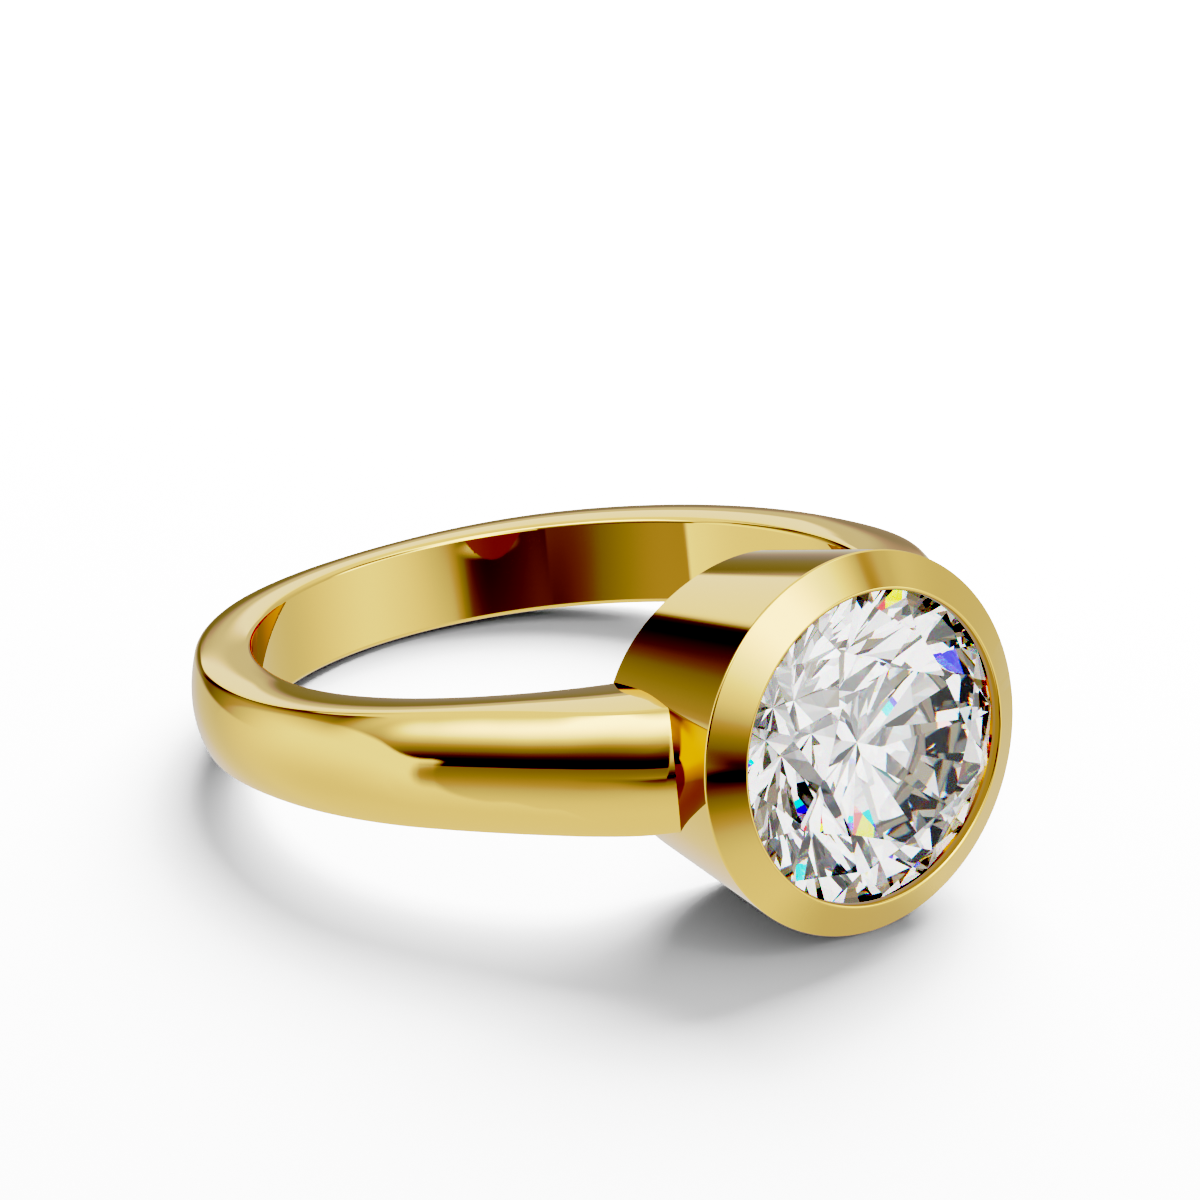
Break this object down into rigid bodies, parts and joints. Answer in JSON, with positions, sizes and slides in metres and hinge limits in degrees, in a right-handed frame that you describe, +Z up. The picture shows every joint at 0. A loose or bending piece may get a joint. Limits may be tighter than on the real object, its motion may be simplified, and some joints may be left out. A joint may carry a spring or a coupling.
{
  "type": "bezel set ring",
  "caption": "Polished yellow gold solitaire ring lying on its side: a tapered domed shank, a conical bezel cup with a flat bevelled rim, and a round brilliant stone.",
  "frame": {"origin": "on the floor, below the middle of the ring's box", "axes": "+Z up, +X from the back of the shank towards the stone, +Y across the ring"},
  "size_m": [0.0242, 0.021, 0.0099],
  "materials": {
    "gold": "polished",
    "diamond": "polished facets"
  },
  "bodies": {
    "root": {"shank_and_bezel": "gold", "stone": "diamond"}
  },
  "joints": []
}
